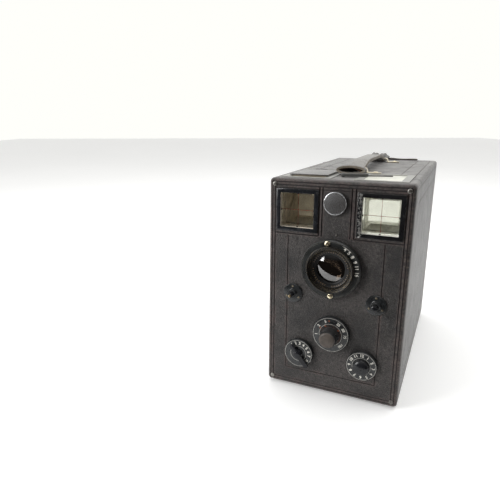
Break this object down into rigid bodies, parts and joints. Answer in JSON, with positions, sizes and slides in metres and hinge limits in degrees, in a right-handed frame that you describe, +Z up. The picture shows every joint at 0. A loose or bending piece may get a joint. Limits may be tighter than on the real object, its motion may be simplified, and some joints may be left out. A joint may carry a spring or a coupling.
{
  "type": "box camera",
  "caption": "Leather-covered box plate camera with two reflex finders, a central lens with aperture ring, shutter dials and plungers, a strap handle and a hinged rear door.",
  "frame": {"origin": "centre of the bounding box on the ground under the feet", "axes": "+X to the right of a person facing the front, +Y from the lens to the rear door, +Z up"},
  "size_m": [0.1234, 0.2527, 0.2053],
  "materials": {
    "case_leather": "worn morocco-grained leather, satin",
    "strap_leather": "dry scuffed leather",
    "case_wood": "mahogany, blackened inside",
    "black_metal": "black enamel, worn at the edges",
    "gun_metal": "blued satin metal",
    "nickel": "dull nickel plate",
    "brass": "aged brass",
    "spring_steel": "bright steel",
    "tin_plate": "matt black tinplate",
    "clear_glass": "polished",
    "ground_glass": "ground on its lower face",
    "silvered": "silvered glass"
  },
  "bodies": {
    "case": {"base_bush": "brass", "bridge_screws": "nickel", "case_base": "case_wood", "case_cover": "case_leather", "case_hinge": "brass", "case_left": "case_wood", "case_right": "case_wood", "case_top": "case_wood", "counter_dial": "black_metal", "feet": "brass", "finder_bezel_left": "gun_metal", "finder_bezel_right": "gun_metal", "finder_box_left": "tin_plate", "finder_box_right": "tin_plate", "finder_frame_left": "gun_metal", "finder_frame_right": "black_metal", "finder_glass_left": "clear_glass", "finder_glass_right": "clear_glass", "finder_mirrors": "silvered", "finder_screens": "ground_glass", "front_board": "case_wood", "front_cover": "case_leather", "front_screws": "nickel", "guide_screws": "nickel", "handle_bridges": "nickel", "handle_strap": "strap_leather", "lens_barrel": "black_metal", "lens_flange": "black_metal", "lens_front_glass": "clear_glass", "lens_rear_glass": "clear_glass", "lid_pin": "brass", "magazine_frame": "case_wood", "mode_dial": "black_metal", "plate_sheaths": "tin_plate", "release_guide": "black_metal", "release_spring": "spring_steel", "shutter_plate": "tin_plate", "side_bush": "brass", "speed_dial": "black_metal", "time_guide": "black_metal", "time_spring": "spring_steel"},
    "lid": {"finder_lid": "case_leather"},
    "arm": {"swing_arm": "gun_metal"},
    "button": {"push_button": "gun_metal"},
    "aperture": {"aperture_ring": "black_metal", "iris_leaves": "tin_plate"},
    "shutter": {"shutter_disc": "tin_plate"},
    "speed": {"speed_knob": "black_metal"},
    "mode": {"mode_lever": "black_metal"},
    "counter": {"counter_knob": "black_metal"},
    "release": {"release_plunger": "brass"},
    "time": {"time_plunger": "black_metal"},
    "door": {"rear_door": "case_wood", "rear_door_cover": "case_leather", "door_strap": "strap_leather", "door_hinge": "brass", "pressure_spring": "spring_steel"},
    "press": {"pressure_plate": "tin_plate"},
    "sheath": {"front_sheath": "tin_plate"},
    "changer": {"changing_lever": "nickel"}
  },
  "joints": [
    {"name": "door_swing", "type": "hinge", "parent": "case", "child": "door", "pos_m": [0.00175, 0.12435, 0.0024], "axis": [-1, 0, 0], "range_deg": [0, 90]},
    {"name": "lid_lift", "type": "hinge", "parent": "case", "child": "lid", "pos_m": [-0.02965, -0.04975, 0.1972], "axis": [-1, 0, 0], "range_deg": [0, 110]},
    {"name": "arm_swing", "type": "hinge", "parent": "case", "child": "arm", "pos_m": [-0.00165, -0.08085, 0.1963], "axis": [0, 0, 1], "range_deg": [-30, 12]},
    {"name": "button_press", "type": "slide", "parent": "case", "child": "button", "axis": [0, 1, 0], "range_m": [0, 0.0018], "stiffness_N_per_m": 200},
    {"name": "aperture_turn", "type": "hinge", "parent": "case", "child": "aperture", "pos_m": [-0.00105, -0.10935, 0.1213], "axis": [0, -1, 0], "range_deg": [0, 70]},
    {"name": "shutter_turn", "type": "hinge", "parent": "case", "child": "shutter", "pos_m": [-0.00105, -0.09435, 0.1003], "axis": [0, -1, 0], "range_deg": [0, 180]},
    {"name": "speed_turn", "type": "hinge", "parent": "case", "child": "speed", "pos_m": [0.00175, -0.10935, 0.0616], "axis": [0, -1, 0], "range_deg": [0, 300]},
    {"name": "mode_turn", "type": "hinge", "parent": "case", "child": "mode", "pos_m": [-0.02705, -0.10935, 0.0374], "axis": [0, -1, 0], "range_deg": [-35, 35]},
    {"name": "counter_turn", "type": "hinge", "parent": "case", "child": "counter", "pos_m": [0.03015, -0.10935, 0.0372], "axis": [0, -1, 0], "continuous": true},
    {"name": "release_press", "type": "slide", "parent": "case", "child": "release", "axis": [0, 1, 0], "range_m": [0, 0.003], "stiffness_N_per_m": 300, "deforming": ["release_spring"]},
    {"name": "time_press", "type": "slide", "parent": "case", "child": "time", "axis": [0, 1, 0], "range_m": [0, 0.003], "stiffness_N_per_m": 300, "deforming": ["time_spring"]},
    {"name": "plate_pressure", "type": "slide", "parent": "door", "child": "press", "axis": [0, 1, 0], "range_m": [0, 0.003], "stiffness_N_per_m": 500, "deforming": ["pressure_spring"]},
    {"name": "sheath_fall", "type": "hinge", "parent": "case", "child": "sheath", "pos_m": [0.00175, 0.07365, 0.0656], "axis": [1, 0, 0], "range_deg": [0, 90]},
    {"name": "changing_turn", "type": "hinge", "parent": "case", "child": "changer", "pos_m": [-0.05825, 0.06965, 0.174], "axis": [-1, 0, 0], "range_deg": [0, 60], "stiffness_Nm_per_rad": 0.05}
  ]
}
